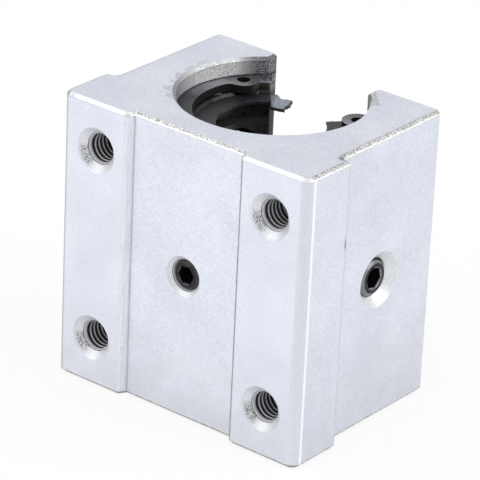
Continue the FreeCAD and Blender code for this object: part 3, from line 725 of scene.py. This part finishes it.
def make_set_screw(screw):
    """A set screw with a hexagon socket, chamfered ends and a helical thread."""
    frame_of = hole_frame((0, 0, 0), screw.out)
    thread_end = SCREW_LENGTH - screw.point_length
    face_radius = screw.radius - SCREW_CHAMFER
    bm = bmesh.new()
    rings = []

    def add_ring(reach_at, down):
        ring = []
        for step in range(SCREW_STEPS):
            place = frame_of(reach_at(step), math.tau * step / SCREW_STEPS, screw.face - down)
            ring.append(bm.verts.new(place))
        rings.append(ring)

    def hexagon(step, grow):
        angle = (math.tau * step / SCREW_STEPS - screw.turn) % (math.pi / 3) - math.pi / 6
        return (screw.socket / 2 + grow) / math.cos(angle)

    def flank(step, down):
        share = (down / screw.pitch - step / SCREW_STEPS) % 1.0
        ridge = screw.radius - 0.5 * screw.pitch * max(0.0, 1.0 - abs(share - 0.5) * 2.6)
        return min(ridge, face_radius + down, screw.point_radius + max(0.0, thread_end - down))

    add_ring(lambda step: 0.001, SOCKET_TIP)
    for down, grow in ((SOCKET_FLOOR, -0.02), (SOCKET_FLOOR - 0.05, 0.0), (SOCKET_CHAMFER, 0.0)):
        add_ring(lambda step: hexagon(step, grow), down)
    for reach in (screw.socket / math.sqrt(3) + 0.06, face_radius - 0.03):
        add_ring(lambda step: reach, 0.0)
    levels = int(thread_end / SCREW_LEVEL)
    for level in range(levels + 1):
        down = 0.03 + (thread_end - 0.03) * level / levels
        add_ring(lambda step: flank(step, down), down)
    for reach, down in ((screw.point_radius - 0.02, SCREW_LENGTH - 0.15),
                        (screw.point_radius - 0.2, SCREW_LENGTH), (0.001, SCREW_LENGTH)):
        add_ring(lambda step: reach, down)
    join_rings(bm, rings)
    bmesh.ops.recalc_face_normals(bm, faces=bm.faces)
    piece = add_piece(screw.node + "_threaded", bm, black_oxide, screw.body,
                      replaced=(screw.node,))
    piece.data.set_sharp_from_angle(angle=math.radians(28))


TORN_LEVEL = 16.8
TORN_STEP = 0.22
TORN_JAG = 0.09


def make_torn_end(name, outline, thickness, pale):
    """A torn tongue of rubber at an end of the upper seal, with ragged edges, a slightly wavy top and a
    painted sheen on it.
    """
    bm = bmesh.new()
    torn_sheen = bm.verts.layers.float.new("torn_sheen")
    rng = random.Random(name)
    ragged = []
    for (x, y), (next_x, next_y) in zip(outline, outline[1:] + outline[:1]):
        steps = max(2, int(math.hypot(next_x - x, next_y - y) / TORN_STEP))
        for step in range(steps):
            share = step / steps
            jag = 0.0 if step == 0 else TORN_JAG
            ragged.append((x + (next_x - x) * share + rng.uniform(-jag, jag),
                           y + (next_y - y) * share + rng.uniform(-jag, jag)))
    middle_x = sum(x for x, y in ragged) / len(ragged)
    middle_y = sum(y for x, y in ragged) / len(ragged)

    def add_vert(x, y, side, shade):
        wave = 0.06 * math.sin(3.1 * x + 1.7 * y)
        vert = bm.verts.new((x, y, TORN_LEVEL + wave + side * thickness))
        vert[torn_sheen] = shade
        return vert

    rings = []
    # The last number is the painted sheen: none on the edges, pale on the top faces.
    for share, side, shade in ((1.0, -0.5, 0.0), (1.0, 0.3, 0.0), (0.93, 0.5, pale * 0.2), (0.80, 0.5, pale),
                               (0.45, 0.5, pale * 0.9)):
        ring = []
        for x, y in ragged:
            ring_x = middle_x + (x - middle_x) * share
            ring_y = middle_y + (y - middle_y) * share
            ring.append(add_vert(ring_x, ring_y, side, shade))
        rings.append(ring)
    join_rings(bm, rings)
    for ring, side, shade in ((rings[0], -0.5, 0.0), (rings[-1], 0.5, pale)):
        centre = add_vert(middle_x, middle_y, side, shade)
        for one, two in zip(ring, ring[1:] + ring[:1]):
            bm.faces.new((one, two, centre))
    bmesh.ops.recalc_face_normals(bm, faces=bm.faces)
    add_piece(name, bm, torn, "block", smooth=False)


def make_torn_ends():
    left = [(-7.45, 10.85), (-6.4, 10.15), (-5.4, 10.35), (-4.55, 10.75), (-3.75, 9.0), (-3.65, 7.8),
            (-3.05, 6.9), (-4.3, 6.9), (-5.25, 6.35), (-7.2, 8.65), (-8.6, 10.4)]
    right = [(4.15, 8.75), (5.0, 8.4), (5.5, 9.65), (5.55, 10.85), (7.05, 11.45), (8.3, 10.2),
             (7.2, 8.65), (5.25, 6.35), (4.7, 7.3)]
    # The left tongue gets a stronger painted sheen than the right.
    make_torn_end("torn_end_left", left, thickness=0.45, pale=0.9)
    make_torn_end("torn_end_right", right, thickness=0.5, pale=0.35)


make_balls()
make_threads()
make_set_screw(LOCATING)
make_set_screw(ADJUSTING)
make_torn_ends()


# ---- studio ----------------------------------------------------------------------------------


def aim(thing, place, target, roll=0.0):
    """Turns a camera or lamp at a place towards a target."""
    back = (place - target).normalized()
    right = Vector((0, 0, 1)).cross(back).normalized()
    up = back.cross(right)
    turned_right = right * math.cos(roll) + up * math.sin(roll)
    turned_up = up * math.cos(roll) - right * math.sin(roll)
    turn = Matrix((turned_right, turned_up, back)).transposed()
    thing.matrix_world = Matrix.Translation(place) @ turn.to_4x4()


def direction(azimuth, elevation):
    """The way out from the object at an azimuth from -Y towards +X."""
    azimuth = math.radians(azimuth)
    elevation = math.radians(elevation)
    flat = math.cos(elevation)
    return Vector((math.sin(azimuth) * flat, -math.cos(azimuth) * flat, math.sin(elevation)))


def make_camera():
    azimuth, elevation, roll = 38.162, 25.288, 2.694
    distance = 498.045 * MM
    target = Vector((0, -3, -0.5)) * MM
    sideways = Vector((-1.849, 0.847, 0)) * MM
    data = bpy.data.cameras.new("camera")
    data.lens = 256.09
    data.sensor_width = 36.0
    data.clip_start = 0.01
    camera = bpy.data.objects.new("camera", data)
    scene.collection.objects.link(camera)
    aim(camera, target + direction(azimuth, elevation) * distance, target, math.radians(roll))
    camera.location += camera.matrix_world.to_3x3() @ sideways
    scene.camera = camera


LAMP_DISTANCE = 0.7
LAMP_SIZE = 0.6


def make_lamp(name, azimuth, elevation, power):
    data = bpy.data.lights.new(name, "AREA")
    data.shape = "DISK"
    data.size = LAMP_SIZE
    data.energy = power
    lamp = bpy.data.objects.new(name, data)
    scene.collection.objects.link(lamp)
    aim(lamp, direction(azimuth, elevation) * LAMP_DISTANCE, Vector((0, 0, 0)))


def make_world():
    world = bpy.data.worlds.new("studio")
    scene.world = world
    world.use_nodes = True
    tree = world.node_tree
    tree.nodes.clear()
    output = tree.nodes.new("ShaderNodeOutputWorld")
    background = tree.nodes.new("ShaderNodeBackground")
    background.inputs["Color"].default_value = (1, 1, 1, 1)
    background.inputs["Strength"].default_value = 0.8
    tree.links.new(background.outputs[0], output.inputs["Surface"])


FLOOR_HALF = 2.0
SEEN_GLOW = 0.84
MIRRORED_GLOW = 0.3


def make_floor():
    """A pale floor that glows white to the camera, keeps the shadow and shows little in reflections."""
    look = Shader("floor")
    path = look.node("ShaderNodeLightPath")
    mirrored = look.most(path.outputs["Is Glossy Ray"], path.outputs["Is Transmission Ray"])
    glow_share = look.most(look.times(path.outputs["Is Camera Ray"], SEEN_GLOW),
                           look.times(mirrored, MIRRORED_GLOW))
    look.set(colour=(0.9, 0.9, 0.9), rough=0.9)
    glow = look.node("ShaderNodeEmission")
    glow.inputs["Color"].default_value = (1, 1, 1, 1)
    mixed = look.node("ShaderNodeMixShader")
    look.join(glow_share, mixed.inputs[0])
    look.join(look.surface.outputs[0], mixed.inputs[1])
    look.join(glow.outputs[0], mixed.inputs[2])
    look.join(mixed.outputs[0], look.output.inputs["Surface"])
    bm = bmesh.new()
    bmesh.ops.create_grid(bm, x_segments=2, y_segments=2, size=FLOOR_HALF)
    mesh = bpy.data.meshes.new("floor")
    bm.to_mesh(mesh)
    bm.free()
    mesh.materials.append(look.material)
    floor = bpy.data.objects.new("floor", mesh)
    floor.location.z = HOUSING_LOW.z
    scene.collection.objects.link(floor)


make_camera()
make_world()
make_floor()
make_lamp("key", azimuth=-60, elevation=50, power=0.95)
make_lamp("fill", azimuth=110, elevation=40, power=1.5)
make_lamp("low", azimuth=-30, elevation=5, power=1.2)
scene.view_settings.view_transform = "Standard"
